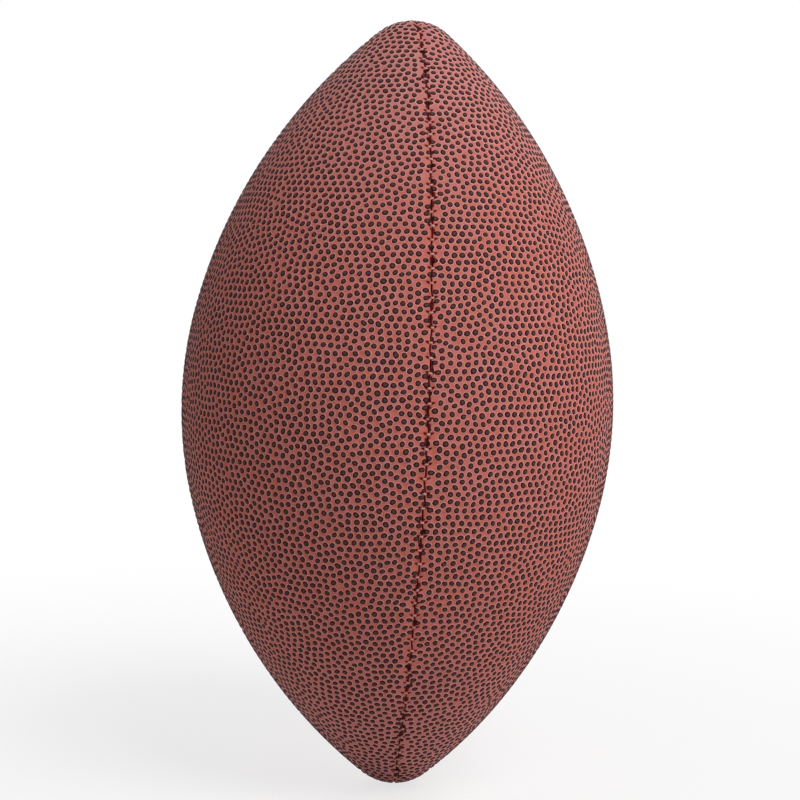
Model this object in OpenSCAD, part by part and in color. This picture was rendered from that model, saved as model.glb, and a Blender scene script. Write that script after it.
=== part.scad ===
// American football: four pebbled leather panels sewn inside out round a blown bladder, and laced shut.
// The long axis is Z. The closed front seam lies at -Y, the laced back seam at +Y, and the side seams at
// +X and -X.

/* [Ball] */
// Length from tip to tip
ball_length = 280; // [260:1:300]
// Diameter at the belly
ball_d = 157; // [146:1:172]
// Radius of the outline's arc at the belly
belly_r = 149; // [144:1:156]
// Angle that the belly arc spans above and below the middle
belly_angle = 13.5; // [11:0.5:16]
// Radius of the rounded tips
tip_r = 19.5; // [17:0.5:22]

/* [Cover] */
// Thickness of the leather
leather_t = 2.2; // [1.8:0.1:2.8]
// Thickness of the cloth lining
lining_t = 0.9; // [0.6:0.1:1.2]
// Depth of the turned-in seam allowance, from the ball's surface
allowance = 6.4; // [5.6:0.1:7]
// Radius of the lip where a panel rolls into its seam
lip_r = 2.4; // [2:0.1:2.8]
// Gap between the two allowances of a seam
seam_gap = 0.1; // [0.06:0.02:0.2]
// Gap between layers that lie against each other
layer_gap = 0.1; // [0.06:0.02:0.2]

/* [Seam thread] */
// Distance from stitch to stitch
stitch_pitch = 5; // [4:0.5:7]
// Diameter of the waxed thread
thread_d = 0.7; // [0.6:0.05:0.9]
// Length of a stitch across its seam
stitch_length = 2.4; // [2.2:0.1:2.8]
// Sag of a stitch into the groove between the two lips
stitch_sag = 0.35; // [0.25:0.05:0.4]
// Distance, along the leather, from a tip to its nearest stitch
tip_to_stitch = 8; // [7:0.5:12]

/* [Lacing] */
// Number of cross laces
lace_rows = 8; // [6:1:8]
// Distance between cross laces
lace_pitch = 14.2; // [13:0.2:15]
// Distance of a lace hole from the back seam, along the leather
lace_hole_x = 12; // [11:0.5:13]
// Diameter of a lace hole
lace_hole_d = 4.6; // [4.4:0.1:5]
// Width of the lace
lace_w = 5.2; // [4.6:0.1:5.6]
// Thickness of the lace
lace_t = 1.5; // [1.2:0.1:1.7]
// Width of the lace where it is gathered inside a hole
gathered_w = 3.2; // [2.8:0.1:3.4]
// Thickness of the lace where it is gathered inside a hole
gathered_t = 2.3; // [2:0.1:2.4]
// Distance from the last cross lace to the slot that the long strands go through
end_slot_gap = 7.5; // [7:0.1:8.5]
// Thickness of the facing strip behind the lace holes
facing_t = 1.2; // [0.8:0.1:1.5]
// Reach of the facing strip from the back seam
facing_reach = 19; // [17:0.5:20]
// Thickness of the tongue between the lace and the bladder
tongue_t = 1; // [0.8:0.1:1.3]
// Width of the tongue
tongue_w = 33; // [31:0.5:34]

/* [Bladder] */
// Wall of the bladder
bladder_t = 0.8; // [0.6:0.1:1]
// Gap between the blown bladder and what presses on it
bladder_gap = 0.3; // [0.2:0.1:0.5]

/* [Valve] */
// Angle of the valve from the back seam
valve_angle = 38; // [34:1:46]
// Diameter of the rubber valve's neck
neck_d = 8.4; // [7.6:0.2:9]
// Depth of the neck's end below the leather's surface
neck_sink = 1; // [0.6:0.1:1.4]
// Length of the neck
neck_length = 13; // [12.5:0.5:14]
// Diameter of the flange bonded inside the bladder
flange_d = 26; // [22:1:30]
// Thickness of that flange
flange_t = 1.2; // [1:0.1:1.5]
// Diameter of the patch welded over the flange
patch_d = 34; // [32:1:38]
// Thickness of the patch
patch_t = 0.7; // [0.5:0.1:1]
// Diameter of the self-sealing plug
plug_d = 5; // [4.6:0.1:5.4]
// Length of the plug
plug_length = 9; // [8.5:0.5:10]
// Diameter of the plug's needle hole
needle_d = 2.2; // [2:0.1:2.4]
// Depth of the needle hole
needle_depth = 5; // [4:0.5:6]
// Clearance round the neck in the leather and the lining
neck_clear = 0.2; // [0.1:0.1:0.4]

/* [Hidden] */

// Fineness of the long arcs, the turned bodies and the small round pieces
arc_fn = 360;
turn_fn = 144;
small_fn = 24;
// Overrun of every cut past the face it opens
over = 1;
// A reach that clears the whole ball
reach = ball_length;

// The outline is a belly arc, a flank arc and a round tip, each tangent to the next.
half_length = ball_length / 2;
belly_c = ball_d / 2 - belly_r;
tip_z = half_length - tip_r;
join_z = belly_r * sin(belly_angle);
join_r = belly_c + belly_r * cos(belly_angle);
// The flank arc starts at the join, square to the same radius, and ends tangent to the tip's circle.
flank_r = ((join_z - tip_z) * (join_z - tip_z) + join_r * join_r - tip_r * tip_r)
    / (2 * ((join_z - tip_z) * sin(belly_angle) + join_r * cos(belly_angle) - tip_r));
flank_z = join_z - flank_r * sin(belly_angle);
flank_c = join_r - flank_r * cos(belly_angle);
flank_angle = atan2(tip_z - flank_z, -flank_c);

// Each arc of the seam curve, from the lower tip to the upper one:
// distance of its centre from the axis, height of its centre, radius, first angle, last angle
ARCS = [[0, -tip_z, tip_r, -90, -flank_angle],
        [flank_c, -flank_z, flank_r, -flank_angle, -belly_angle],
        [belly_c, 0, belly_r, -belly_angle, belly_angle],
        [flank_c, flank_z, flank_r, belly_angle, flank_angle],
        [0, tip_z, tip_r, flank_angle, 90]];

function radians(a) = a * PI / 180;
belly_run = belly_r * radians(belly_angle);
flank_run = flank_r * radians(flank_angle - belly_angle);
tip_run = tip_r * radians(90 - flank_angle);
half_run = belly_run + flank_run + tip_run;

// Which arc a place on the seam lies on, and its angle there, from its distance s along the seam to
// the middle
function arc_of(s) = abs(s) <= belly_run ? 2
    : abs(s) <= belly_run + flank_run ? (s > 0 ? 3 : 1) : (s > 0 ? 4 : 0);
function angle_of(s) = sign(s) * (abs(s) <= belly_run ? abs(s) / belly_r * 180 / PI
    : abs(s) <= belly_run + flank_run ? belly_angle + (abs(s) - belly_run) / flank_r * 180 / PI
    : flank_angle + (abs(s) - belly_run - flank_run) / tip_r * 180 / PI);

// Distance of the skin from the long axis at height z, for a skin inset by d
function skin_r(z, d) =
    let (up = abs(z))
    up <= (belly_r - d) * sin(belly_angle) ? belly_c + sqrt((belly_r - d) * (belly_r - d) - up * up)
    : flank_c + sqrt((flank_r - d) * (flank_r - d) - (up - flank_z) * (up - flank_z));
// Slope of the skin at height z, as the angle of its normal above the level
function skin_slope(z) = sign(z)
    * (abs(z) <= join_z ? asin(abs(z) / belly_r) : asin((abs(z) - flank_z) / flank_r));
// Distance along the seam of a place at height z between the tips' arcs
function run_at(z) = sign(z) * (abs(z) <= join_z ? belly_r * radians(skin_slope(abs(z)))
    : belly_run + flank_r * radians(skin_slope(abs(z)) - belly_angle));

// Depths of the layers below the surface
lining_out = leather_t + layer_gap;
lining_in = lining_out + lining_t;
facing_out = lining_in + layer_gap;
facing_in = facing_out + facing_t;
lace_under = facing_in + layer_gap + lace_t / 2;
tongue_out = lace_under + lace_t / 2 + layer_gap * 2;
tongue_in = tongue_out + tongue_t;
bladder_out = lining_in + bladder_gap;
pocket_out = max(tongue_in, allowance) + bladder_gap;
core_out = allowance + bladder_gap;
flange_out = bladder_out + bladder_t + layer_gap;
flange_in = flange_out + flange_t;
patch_out = flange_in + layer_gap;
patch_in = patch_out + patch_t;
// Depth across the seam at which the lining's edge turns in beside the leather's
lining_edge = seam_gap / 2 + lining_out;
// Half the width that the blown bladder leaves to the allowances of a seam
seam_relief = seam_gap / 2 + lining_in + bladder_gap;
// Angle from the back seam that holds the facing and the tongue at every height
strip_angle = 45;
// Clearance round the plug in the neck
fit_gap = 0.05;
// Width of the shut slit
slit_w = 0.12;

// Lacing places along the long axis
last_row_z = (lace_rows - 1) / 2 * lace_pitch;
end_slot_z = last_row_z + end_slot_gap;
lace_hole_r = lace_hole_d / 2;
// The long strands lie side by side over the seam.
lane_gap = 0.2;
lane_x = (lace_w + lane_gap) / 2;
slot_r = lace_t;
slot_reach = lane_x + lace_w / 2 + lane_gap * 2;
lace_tail = 8;
// Half the length of the opening, past which the back seam is sewn
opening_half = end_slot_z + slot_r * 2 + lace_w + lace_t * 2;
// Chamfer that the lace presses round a hole's rim
rim_chamfer = 0.7;

// Turned bodies

// How far the belly's and the tips' arcs stand proud, so that they cross the flank arcs cleanly
join_lap = 0.004;
// Angle by which those arcs run on below the flank arcs, and the tips' lips below the flank's lips
join_run = 4;
lip_run = 2;
// How far a lip's rounding reaches past the allowance's face, so that it ends at an edge
lip_bite = 0.15;
// Distance of the rounding's middle from the seam
lip_q = lip_r + seam_gap / 2 - lip_bite;

// One arc's slice of the outline, inset by d, as a pie from the arc's centre
module slice(arc, d, lap, run) {
    first = arc[3] - run;
    last = arc[4] + run;
    middle = (first + last) / 2;
    wide = arc[2] * 2;
    translate([arc[0], arc[1]]) intersection() {
        circle(arc[2] - d + lap, $fn = arc_fn);
        polygon([[0, 0], [cos(first), sin(first)] * wide, [cos(middle), sin(middle)] * wide * 2,
                 [cos(last), sin(last)] * wide]);
    }
}

// Half the ball's outline, inset by d
module half_outline(d) {
    intersection() {
        union() {
            for (i = [0, 2, 4]) slice(ARCS[i], d, join_lap, join_run);
            for (i = [1, 3]) slice(ARCS[i], d, 0, 0);
        }
        translate([0, -reach]) square([reach, reach * 2]);
    }
}

// The outline's band between two insets
module outline_band(outer, inner) {
    difference() {
        half_outline(outer);
        half_outline(inner);
    }
}

// The whole ball's solid form, inset by d
module form(d) {
    rotate_extrude($fn = turn_fn) half_outline(d);
}

// Part of the layer between two insets, between two angles counted from +Y towards +X
module layer(outer, inner, from, to) {
    rotate_extrude(angle = to - from, start = 90 - to, $fn = turn_fn) outline_band(outer, inner);
}

// A block over the quarter where x and y are positive, held back by inset from both seams
module quadrant(inset) {
    translate([inset, inset, -reach]) cube([reach, reach, reach * 2]);
}

// An edge turned in along the seam at +Y, between two depths, from inset to inset + t across the seam
module turned_edge(outer, inner, inset, t) {
    translate([inset, 0, 0]) rotate([90, 0, 90]) linear_extrude(t) outline_band(outer, inner);
}

// Puts a shape at both seams of the quarter where x and y are positive
module both_seams() {
    children();
    mirror([1, -1, 0]) children();
}

// Turns a profile of (distance from an arc's centre, distance across the seam) along the seam at +Y,
// run on at both ends by an angle
module along_arc(arc, run) {
    translate([0, arc[0], arc[1]]) rotate([90, 0, 90])
        rotate_extrude(angle = arc[4] - arc[3] + run * 2, start = arc[3] - run, $fn = arc_fn) children();
}

// What is cut off one panel's edge to leave a rounded lip, as a profile whose top lies at distance r
module lip_profile(r) {
    translate([r - lip_r, -over]) difference() {
        square([lip_r + over, over + lip_q]);
        translate([0, over + lip_q]) circle(lip_r, $fn = small_fn * 2);
    }
}

// The same along the whole seam
module lip_cut() {
    for (i = [1, 2, 3]) along_arc(ARCS[i], 0) lip_profile(ARCS[i][2]);
    for (i = [0, 4]) along_arc(ARCS[i], lip_run) lip_profile(ARCS[i][2] + join_lap);
}

// Stitches

// Distances along the seam of the stitches between two places, a whole number of pitches apart
function stations(from, to) =
    let (n = floor((to - from) / stitch_pitch), first = (from + to - n * stitch_pitch) / 2)
    [for (i = [0:n]) first + i * stitch_pitch];
sewn_end = half_run - tip_to_stitch;
full_seam = stations(-sewn_end, sewn_end);
opening_run = run_at(opening_half) + stitch_pitch / 2;
upper_seam = stations(opening_run, sewn_end);
lower_seam = [for (s = upper_seam) -s];

// A stitch hangs from lip to lip: its arc's radius and half its angle
sag_r = (stitch_length * stitch_length / 4 + stitch_sag * stitch_sag) / (2 * stitch_sag);
sag_angle = asin(stitch_length / 2 / sag_r);
// Place across the seam of its ends' lower edge, depth of the lip there, and height of its ends' middle
end_q = stitch_length / 2 + thread_d / 2 * sin(sag_angle);
lip_at_end = lip_r - sqrt(lip_r * lip_r - pow(lip_q - end_q, 2));
stitch_rise = thread_d / 2 * cos(sag_angle) + layer_gap - lip_at_end;

// The stitch over the seam at +Y at distance s along it
module stitch(s) {
    arc = ARCS[arc_of(s)];
    a = angle_of(s);
    up = arc[2] + stitch_rise - stitch_sag + sag_r;
    translate([0, arc[0] + up * cos(a), arc[1] + up * sin(a)])
        rotate([a, 0, 0]) rotate_extrude(angle = sag_angle * 2, start = 270 - sag_angle, $fn = small_fn * 4)
            translate([sag_r, 0]) circle(thread_d / 2, $fn = small_fn);
}

module seam_thread(places) {
    color("#c06a58") for (s = places) stitch(s);
}

// Lacing

// A cylinder along the skin's radius at a lace hole, x along the skin from the back seam at height z
module skin_drill(x, z, r) {
    surface = skin_r(z, 0);
    translate([0, 0, z]) rotate([0, 0, -x / surface * 180 / PI]) translate([0, surface, 0]) rotate([90, 0, 0])
        translate([0, 0, -over]) cylinder(over + facing_in + over, r, r, $fn = small_fn * 2);
}

// The flare that the lace presses into the leather at a hole's outer end
module rim_flare(x, z) {
    surface = skin_r(z, 0);
    translate([0, 0, z]) rotate([0, 0, -x / surface * 180 / PI]) translate([0, surface, 0]) rotate([90, 0, 0])
        translate([0, 0, -rim_chamfer])
            cylinder(rim_chamfer * 2, lace_hole_r + rim_chamfer * 2, lace_hole_r, $fn = small_fn * 2);
}

// Lace holes of the panel at +X, and its half of both end slots
module lace_holes() {
    for (row = [0:lace_rows - 1]) skin_drill(lace_hole_x, row * lace_pitch - last_row_z, lace_hole_r);
    for (end = [-1, 1]) translate([0, 0, end * end_slot_z]) rotate([-90, 0, 0]) linear_extrude(reach) hull() {
        circle(slot_r, $fn = small_fn * 2);
        translate([slot_reach - slot_r, 0]) circle(slot_r, $fn = small_fn * 2);
    }
}

// A block over the lacing at +Y, of half width w and half length l
module lacing_block(w, l) {
    translate([-w, 0, -l]) cube([w * 2, reach, l * 2]);
}

// A leather panel's quarter, with its allowances turned in along both seams
module leather_quarter() {
    difference() {
        union() {
            intersection() {
                layer(0, leather_t, 0, 90);
                quadrant(seam_gap / 2);
            }
            both_seams() turned_edge(leather_t / 2, allowance, seam_gap / 2, leather_t);
        }
        both_seams() lip_cut();
    }
}

// A lining's quarter, whose edges turn in with the leather's
module lining_quarter() {
    intersection() {
        union() {
            layer(lining_out, lining_in, 0, 90);
            both_seams() turned_edge(lining_out + lining_t / 2, allowance, lining_edge, lining_t);
        }
        quadrant(lining_edge);
    }
}

// The allowance that a laced quarter leaves out along the opening, below depth d
module opened_allowance(d) {
    intersection() {
        form(d);
        lacing_block(lining_edge + lining_t + layer_gap, opening_half);
    }
}

module plain_panel() {
    color("#8a4a40") leather_quarter();
}

module plain_lining() {
    color("#cfc6b4") lining_quarter();
}

// Laced panel and lining on the +X side of the back seam
module laced_panel() {
    difference() {
        leather_quarter();
        opened_allowance(leather_t);
        lace_holes();
        for (row = [0:lace_rows - 1]) rim_flare(lace_hole_x, row * lace_pitch - last_row_z);
    }
}

module laced_lining() {
    difference() {
        lining_quarter();
        opened_allowance(lining_in);
        lace_holes();
    }
}

// A facing strip on the +X side of the back seam
module facing() {
    color("#b9a98a") difference() {
        intersection() {
            layer(facing_out, facing_in, 0, strip_angle);
            translate([layer_gap * 2, 0, over - opening_half])
                cube([facing_reach, reach, (opening_half - over) * 2]);
        }
        lace_holes();
    }
}

// The lace

// A place on the skin: x along it from the back seam, height z, depth d
function on_skin(x, z, d) =
    let (a = x / skin_r(z, 0) * 180 / PI, r = skin_r(z, d))
    [r * sin(a), r * cos(a), z];
// A direction in the skin, from its share along x and its share along the length
function in_skin(x, z, across, along) =
    let (a = x / skin_r(z, 0) * 180 / PI, b = skin_slope(z))
    across * [cos(a), -sin(a), 0] + along * [-sin(b) * sin(a), -sin(b) * cos(a), cos(b)];

// Each point of the lace's route: x, z, depth, the lace's width direction in the skin, width and thickness
function point(x, z, d, wx, wz, g = 0) =
    [x, z, d, wx, wz, lace_w + (gathered_w - lace_w) * g, lace_t + (gathered_t - lace_t) * g];

// Depth of the lace's middle where it lies on the leather, and where it crosses the long strands
lace_on = -(lace_t / 2 + layer_gap);
lace_over = lace_on - lace_t - layer_gap;
// Angles of a bend's points
BEND = [0, 30, 60, 90];
function reversed(list) = [for (i = [len(list) - 1:-1:0]) list[i]];
// Shares of the way between two bends
RUN_shares = [0.15, 0.38, 0.62, 0.85];
// Places of a cross lace's points, as shares of half its width
CROSS_shares = [-0.86, -0.74, -0.62, -0.5, -0.25, 0, 0.25, 0.5, 0.62, 0.74, 0.86];

// How far a cross lace has climbed over the long strands, from 0 on the leather to 1
function climb(x) =
    let (near = lane_x + lace_w / 2, far = lace_hole_x - lace_hole_r, u = (far - abs(x)) / (far - near))
    u <= 0 ? 0 : u >= 1 ? 1 : (1 - cos(180 * u)) / 2;

// The lace's quarter turn at the hole of one side, from its passage towards the seam.
// way is 1 for a turn above the leather and -1 for one below it, level the depth of the level end.
function hole_turn(side, z, level, way) = [for (b = BEND)
    point(side * (lace_hole_x - lace_hole_r * (1 - cos(b))), z, level + way * lace_hole_r * (1 - sin(b)),
          0, -1, cos(b))];

// One cross lace: up through the left hole, over the long strands and down through the right hole
function cross_lace(z) = concat(
    hole_turn(-1, z, lace_on, 1),
    [for (share = CROSS_shares) let (x = share * (lace_hole_x - lace_hole_r / 2))
        if (abs(x) < lace_hole_x - lace_hole_r)
            point(x, z, lace_on + (lace_over - lace_on) * climb(x), 0, -1)],
    reversed(hole_turn(1, z, lace_on, 1)));

// The run below the leather from the right hole of one row to the left hole of the next
run_length = sqrt(4 * lace_hole_x * lace_hole_x + lace_pitch * lace_pitch);
run_x = -2 * lace_hole_x / run_length;
run_z = lace_pitch / run_length;
function under_run(z) = concat(
    [for (b = BEND) let (s = lace_hole_r * (1 - cos(b)), turn = b / 90)
        point(lace_hole_x + run_x * s, z + run_z * s, lace_under - lace_hole_r * (1 - sin(b)),
              -run_z * turn, run_x * turn - (1 - turn), cos(b))],
    [for (share = RUN_shares) let (s = lace_hole_r + share * (run_length - 2 * lace_hole_r))
        point(lace_hole_x + run_x * s, z + run_z * s, lace_under, -run_z, run_x)],
    [for (i = [len(BEND) - 1:-1:0]) let (b = BEND[i], s = lace_hole_r * (1 - cos(b)), turn = b / 90)
        point(-lace_hole_x - run_x * s, z + lace_pitch - run_z * s, lace_under - lace_hole_r * (1 - sin(b)),
              -run_z * turn, run_x * turn - (1 - turn), cos(b))]);

// A long strand's passage through an end slot, from the skin down to the run below.
// side is the lane, end the slot, out 1 where the run below leads away from the middle and -1 where it
// leads back.
function slot_down(side, end, out, wx) = concat(
    [for (i = [len(BEND) - 1:-1:0]) let (b = BEND[i])
        point(side * lane_x, end * (end_slot_z - slot_r * (1 - cos(b))),
              lace_on + slot_r * (1 - sin(b)), wx, 0)],
    [for (b = BEND) point(side * lane_x, end * (end_slot_z + out * slot_r * (1 - cos(b))),
                          lace_under - slot_r * (1 - sin(b)), wx, 0)]);

// Points of a long strand between its slots
function strand(side, up, wx) =
    let (top = end_slot_z - slot_r, n = lace_rows * 2 + 1)
    [for (i = [1:n - 1]) point(side * lane_x, up * top * (2 * i / n - 1), lace_on, wx, 0)];

// Where the lace turns below the leather past the upper slot, and below the first row
turn_z = end_slot_z + slot_r + lace_t;
corner_r = lace_w * 0.6;
TURN = [0, 30, 60, 90, 120, 150, 180];

ROUTE = concat(
    [point(-lane_x, -end_slot_z - slot_r - lace_tail, lace_under, 1, 0)],
    reversed(slot_down(-1, -1, 1, 1)),
    strand(-1, 1, 1),
    slot_down(-1, 1, 1, 1),
    [for (b = TURN) point(-lane_x * cos(b), turn_z + lane_x * sin(b), lace_under, cos(b), -sin(b))],
    reversed(slot_down(1, 1, 1, -1)),
    strand(1, -1, -1),
    slot_down(1, -1, -1, -1),
    [for (b = [0, 30, 60, 90]) point(lane_x - corner_r * (1 - cos(b)), -last_row_z - corner_r * (1 - sin(b)),
                                     lace_under, -cos(b), -sin(b))],
    [for (share = RUN_shares) let (from = lane_x - corner_r, to = lace_hole_r - lace_hole_x)
        point(from + share * (to - from), -last_row_z, lace_under, 0, -1)],
    reversed(hole_turn(-1, -last_row_z, lace_under, -1)),
    [for (row = [0:lace_rows - 1]) let (z = row * lace_pitch - last_row_z)
        each concat(cross_lace(z), row < lace_rows - 1 ? under_run(z) : [])],
    hole_turn(1, last_row_z, lace_under, -1),
    [point(lace_hole_x - lace_hole_r - lace_tail, last_row_z, lace_under, 0, -1)]);

// The lace's section is a flat six-sided band: shares of its width and of its thickness
SECTION_shares = [[0.5, 0], [0.42, 0.5], [-0.42, 0.5], [-0.5, 0], [-0.42, -0.5], [0.42, -0.5]];

function unit(v) = v / norm(v);
function ring(route, i) =
    let (p = route[i], last = len(route) - 1,
         before = route[max(i - 1, 0)], after = route[min(i + 1, last)],
         along = unit(on_skin(after[0], after[1], after[2]) - on_skin(before[0], before[1], before[2])),
         wish = in_skin(p[0], p[1], p[3], p[4]),
         wide = unit(wish - along * (wish * along)),
         thick = cross(along, wide))
    [for (c = SECTION_shares) on_skin(p[0], p[1], p[2]) + wide * p[5] * c[0] + thick * p[6] * c[1]];

module band(route) {
    sides = len(SECTION_shares);
    last = len(route) - 1;
    points = [for (i = [0:last]) each ring(route, i)];
    faces = concat(
        [for (i = [0:last - 1]) for (k = [0:sides - 1])
            let (a = i * sides + k, b = i * sides + (k + 1) % sides)
            each [[a, b, b + sides], [a, b + sides, a + sides]]],
        [for (k = [1:sides - 2]) [0, k + 1, k]],
        [for (k = [1:sides - 2]) [last * sides, last * sides + k, last * sides + k + 1]]);
    polyhedron(points, faces);
}

module lace() {
    color("#e9e4da") band(ROUTE);
}

module lace_tongue() {
    color("#6f6a63") intersection() {
        layer(tongue_out, tongue_in, -strip_angle, strip_angle);
        lacing_block(tongue_w / 2, opening_half - over);
    }
}

// Bladder

// The blown form, inset by d: a core inside the allowances, a lobe in each quarter, and a pocket below
// the lacing
module blown(d) {
    difference() {
        union() {
            form(core_out + d);
            intersection() {
                form(bladder_out + d);
                for (turn = [0:90:270]) rotate([0, 0, turn]) quadrant(seam_relief + d);
            }
        }
        difference() {
            lacing_block(facing_reach + bladder_gap + over + d, opening_half + over + d);
            form(pocket_out + d);
        }
    }
}

module bladder() {
    color("#2d2b2e") difference() {
        blown(0);
        blown(bladder_t);
        at_valve() neck_hole();
    }
}

// Valve

// Turns the +Y axis to the valve's place in the back left panel
module at_valve() {
    rotate([0, 0, valve_angle]) children();
}

// A round bar along +Y between two depths below the belly's surface
module plug_bar(r, top, bottom) {
    translate([0, ball_d / 2 - top, 0]) rotate([90, 0, 0]) cylinder(bottom - top, r, r, $fn = small_fn * 2);
}

module neck_hole() {
    plug_bar(neck_d / 2 + neck_clear, -over, neck_sink + neck_length);
}

module valve_body() {
    color("#3a2b22") at_valve() difference() {
        union() {
            plug_bar(neck_d / 2, neck_sink, neck_sink + neck_length);
            intersection() {
                layer(flange_out, flange_in, -strip_angle, strip_angle);
                plug_bar(flange_d / 2, -over, neck_length);
            }
        }
        plug_bar(plug_d / 2 + fit_gap, -over, neck_sink + plug_length + fit_gap);
        plug_bar(needle_d / 2, -over, neck_sink + neck_length + over);
    }
}

module valve_plug() {
    color("#1d1c1e") at_valve() difference() {
        plug_bar(plug_d / 2, neck_sink, neck_sink + plug_length);
        plug_bar(needle_d / 2, -over, neck_sink + needle_depth);
        // The slit that the needle opens and the air pressure shuts
        translate([-slit_w / 2, ball_d / 2 - neck_sink - plug_length - over, -needle_d / 2])
            cube([slit_w, plug_length, needle_d]);
    }
}

module valve_flange_patch() {
    color("#4a484c") at_valve() difference() {
        intersection() {
            layer(patch_out, patch_in, -strip_angle, strip_angle);
            plug_bar(patch_d / 2, -over, neck_length + over);
        }
        neck_hole();
    }
}

// The pieces in their places

module panel_front_left() {
    rotate([0, 0, 180]) plain_panel();
}

module panel_front_right() {
    rotate([0, 0, -90]) plain_panel();
}

module panel_back_right() {
    color("#8a4a40") laced_panel();
}

module panel_back_left() {
    color("#8a4a40") difference() {
        mirror([1, 0, 0]) laced_panel();
        at_valve() neck_hole();
    }
}

module lining_front_left() {
    rotate([0, 0, 180]) plain_lining();
}

module lining_front_right() {
    rotate([0, 0, -90]) plain_lining();
}

module lining_back_right() {
    color("#cfc6b4") laced_lining();
}

module lining_back_left() {
    color("#cfc6b4") difference() {
        mirror([1, 0, 0]) laced_lining();
        at_valve() neck_hole();
    }
}

module seam_thread_front() {
    rotate([0, 0, 180]) seam_thread(full_seam);
}

module seam_thread_left() {
    rotate([0, 0, 90]) seam_thread(full_seam);
}

module seam_thread_right() {
    rotate([0, 0, -90]) seam_thread(full_seam);
}

module seam_thread_back_upper() {
    seam_thread(upper_seam);
}

module seam_thread_back_lower() {
    seam_thread(lower_seam);
}

module lace_facing_right() {
    facing();
}

module lace_facing_left() {
    mirror([1, 0, 0]) facing();
}

panel_front_left();
panel_front_right();
panel_back_left();
panel_back_right();
lining_front_left();
lining_front_right();
lining_back_left();
lining_back_right();
seam_thread_front();
seam_thread_left();
seam_thread_right();
seam_thread_back_upper();
seam_thread_back_lower();
lace_facing_left();
lace_facing_right();
lace();
lace_tongue();
bladder();
valve_flange_patch();
valve_body();
valve_plug();
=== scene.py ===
"""Looks of an american football: pebbled leather panels, sunk stitches and a woven lace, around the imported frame."""
import math
from functools import partial

import bpy
import numpy as np
from mathutils import Matrix, Vector
from mathutils.geometry import delaunay_2d_cdt
from mathutils.kdtree import KDTree


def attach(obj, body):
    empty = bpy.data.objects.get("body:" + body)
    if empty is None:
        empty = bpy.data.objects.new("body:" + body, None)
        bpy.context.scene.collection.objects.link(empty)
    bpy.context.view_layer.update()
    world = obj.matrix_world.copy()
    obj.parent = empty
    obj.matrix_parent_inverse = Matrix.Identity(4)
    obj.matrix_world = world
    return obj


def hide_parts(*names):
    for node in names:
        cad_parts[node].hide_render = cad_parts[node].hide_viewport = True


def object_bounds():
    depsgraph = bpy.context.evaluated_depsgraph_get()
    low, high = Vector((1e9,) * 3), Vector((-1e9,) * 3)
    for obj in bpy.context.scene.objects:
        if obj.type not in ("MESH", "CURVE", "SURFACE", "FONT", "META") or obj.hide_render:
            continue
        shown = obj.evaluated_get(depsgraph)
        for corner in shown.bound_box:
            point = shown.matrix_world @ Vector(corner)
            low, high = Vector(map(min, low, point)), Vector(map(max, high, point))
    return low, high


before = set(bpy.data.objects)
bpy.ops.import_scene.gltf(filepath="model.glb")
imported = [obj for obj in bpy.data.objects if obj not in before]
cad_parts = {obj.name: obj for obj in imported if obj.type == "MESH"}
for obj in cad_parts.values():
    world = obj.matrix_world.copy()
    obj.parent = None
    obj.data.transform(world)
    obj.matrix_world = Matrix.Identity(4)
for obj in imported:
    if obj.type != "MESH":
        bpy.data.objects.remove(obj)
cad_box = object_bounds()

MM = 0.001

# ---- sizes, in mm, as in the CAD source
BALL_LENGTH = 280.0
BALL_D = 157.0
BELLY_R = 149.0
BELLY_ANGLE = math.radians(13.5)
TIP_R = 19.5
HALF = BALL_LENGTH / 2
BELLY_C = BALL_D / 2 - BELLY_R
TIP_Z = HALF - TIP_R
JOIN_Z = BELLY_R * math.sin(BELLY_ANGLE)
JOIN_R = BELLY_C + BELLY_R * math.cos(BELLY_ANGLE)
FLANK_R = ((JOIN_Z - TIP_Z) ** 2 + JOIN_R ** 2 - TIP_R ** 2) / (
    2 * ((JOIN_Z - TIP_Z) * math.sin(BELLY_ANGLE) + JOIN_R * math.cos(BELLY_ANGLE) - TIP_R))
FLANK_Z = JOIN_Z - FLANK_R * math.sin(BELLY_ANGLE)
FLANK_C = JOIN_R - FLANK_R * math.cos(BELLY_ANGLE)
FLANK_ANGLE = math.atan2(TIP_Z - FLANK_Z, -FLANK_C)
BELLY_RUN = BELLY_R * BELLY_ANGLE
FLANK_RUN = FLANK_R * (FLANK_ANGLE - BELLY_ANGLE)
HALF_RUN = BELLY_RUN + FLANK_RUN + TIP_R * (math.pi / 2 - FLANK_ANGLE)
# The belly's, the flank's and the tip's arc: radius, the centre's place from the axis and its height
ARCS = np.array([[BELLY_R, BELLY_C, 0.0], [FLANK_R, FLANK_C, FLANK_Z], [TIP_R, 0.0, TIP_Z]])

STITCH_PITCH = 5.0
TIP_TO_STITCH = 8.0
LACE_ROWS, LACE_PITCH, LACE_HOLE_X, LACE_HOLE_R = 8, 14.2, 12.0, 2.3
LACE_W, LACE_T, GATHERED_W, GATHERED_T = 5.2, 1.5, 3.2, 2.3
END_SLOT_GAP, LANE_GAP = 7.5, 0.2
LAST_ROW_Z = (LACE_ROWS - 1) / 2 * LACE_PITCH
END_SLOT_Z = LAST_ROW_Z + END_SLOT_GAP
LANE_X = (LACE_W + LANE_GAP) / 2
SLOT_R = LACE_T
SLOT_REACH = LANE_X + LACE_W / 2 + LANE_GAP * 2
OPENING_HALF = END_SLOT_Z + SLOT_R * 2 + LACE_W + LACE_T * 2
LEATHER_T, FACING_IN, LAYER_GAP = 2.2, 4.5, 0.1
LACE_UNDER = FACING_IN + LAYER_GAP + LACE_T / 2
LACE_ON = -(LACE_T / 2 + LAYER_GAP)
LACE_OVER = LACE_ON - LACE_T - LAYER_GAP
LACE_TAIL = 8.0
VALVE_ANGLE = math.radians(38)
NECK_HOLE_R = 4.4

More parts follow.
